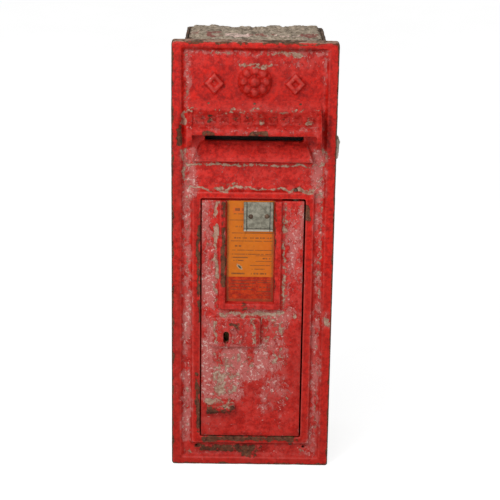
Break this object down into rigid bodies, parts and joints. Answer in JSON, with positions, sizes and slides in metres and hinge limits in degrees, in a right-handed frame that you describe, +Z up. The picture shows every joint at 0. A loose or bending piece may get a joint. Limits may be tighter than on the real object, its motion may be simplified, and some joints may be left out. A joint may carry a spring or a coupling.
{
  "type": "wall letter box",
  "caption": "Cast-iron wall letter box: tall red front with a hooded letter slot, a hinged door with a notice window and lever lock, and a plain rear casing.",
  "frame": {"origin": "centre of the footprint, on the surface the box stands on", "axes": "+Z up, the front looks along -Y, +X to the viewer's right"},
  "size_m": [0.254, 0.238, 0.6944],
  "materials": {
    "painted_iron": "worn gloss paint on cast iron",
    "weathered_iron": "rough, rusted and mortar-stained",
    "steel_fixings": "dull",
    "galvanised_sheet": "galvanised",
    "enamel": "vitreous enamel",
    "zinc_sheet": "dull grey",
    "lock_brass": "tarnished"
  },
  "bodies": {
    "box": {"front_frame": "painted_iron", "aperture_hood": "painted_iron", "hood_screws": "steel_fixings", "casing_left": "weathered_iron", "casing_right": "weathered_iron", "casing_top": "weathered_iron", "casing_bottom": "weathered_iron", "plate_screws": "steel_fixings", "casing_bolts": "steel_fixings", "back_plate": "weathered_iron", "back_screws": "steel_fixings", "wall_ties": "weathered_iron", "tie_rivets": "weathered_iron", "letter_baffle": "galvanised_sheet", "baffle_screws": "steel_fixings", "upper_hinge_pin": "steel_fixings", "lower_hinge_pin": "steel_fixings", "hinge_washer": "lock_brass", "lock_keep": "steel_fixings", "keep_screws": "steel_fixings"},
    "door": {"door": "painted_iron", "boss_rivet": "painted_iron", "cover_pivot": "painted_iron", "notice_plate": "enamel", "tablet_pocket": "zinc_sheet", "pocket_rivets": "zinc_sheet", "lock_case": "lock_brass", "lock_cover": "lock_brass", "lock_screws": "lock_brass", "lever_post": "steel_fixings", "lever_springs": "steel_fixings"},
    "keyhole_cover": {"keyhole_cover": "painted_iron"},
    "lock_bolt": {"lock_bolt": "lock_brass"},
    "lever_1": {"lever_1": "lock_brass"},
    "lever_2": {"lever_2": "lock_brass"},
    "lever_3": {"lever_3": "lock_brass"}
  },
  "joints": [
    {"name": "door_hinge", "type": "hinge", "parent": "box", "child": "door", "pos_m": [0.0655, -0.075, 0.25], "axis": [0, 0, 1], "range_deg": [0, 110]},
    {"name": "keyhole_cover_swing", "type": "hinge", "parent": "door", "child": "keyhole_cover", "pos_m": [-0.0308, -0.0884, 0.2387], "axis": [0, 1, 0], "range_deg": [-60, 54]},
    {"name": "lock_bolt_slide", "type": "slide", "parent": "door", "child": "lock_bolt", "axis": [-1, 0, 0], "range_m": [0, 0.014]},
    {"name": "lever_1_lift", "type": "hinge", "parent": "door", "child": "lever_1", "pos_m": [-0.015, -0.0612, 0.243], "axis": [0, 1, 0], "range_deg": [0, 4], "stiffness_Nm_per_rad": 0.02, "springref_deg": -5.73, "deforming": ["lever_springs"]},
    {"name": "lever_2_lift", "type": "hinge", "parent": "door", "child": "lever_2", "pos_m": [-0.015, -0.059, 0.243], "axis": [0, 1, 0], "range_deg": [0, 4], "stiffness_Nm_per_rad": 0.02, "springref_deg": -5.73},
    {"name": "lever_3_lift", "type": "hinge", "parent": "door", "child": "lever_3", "pos_m": [-0.015, -0.0568, 0.243], "axis": [0, 1, 0], "range_deg": [0, 4], "stiffness_Nm_per_rad": 0.02, "springref_deg": -5.73}
  ]
}
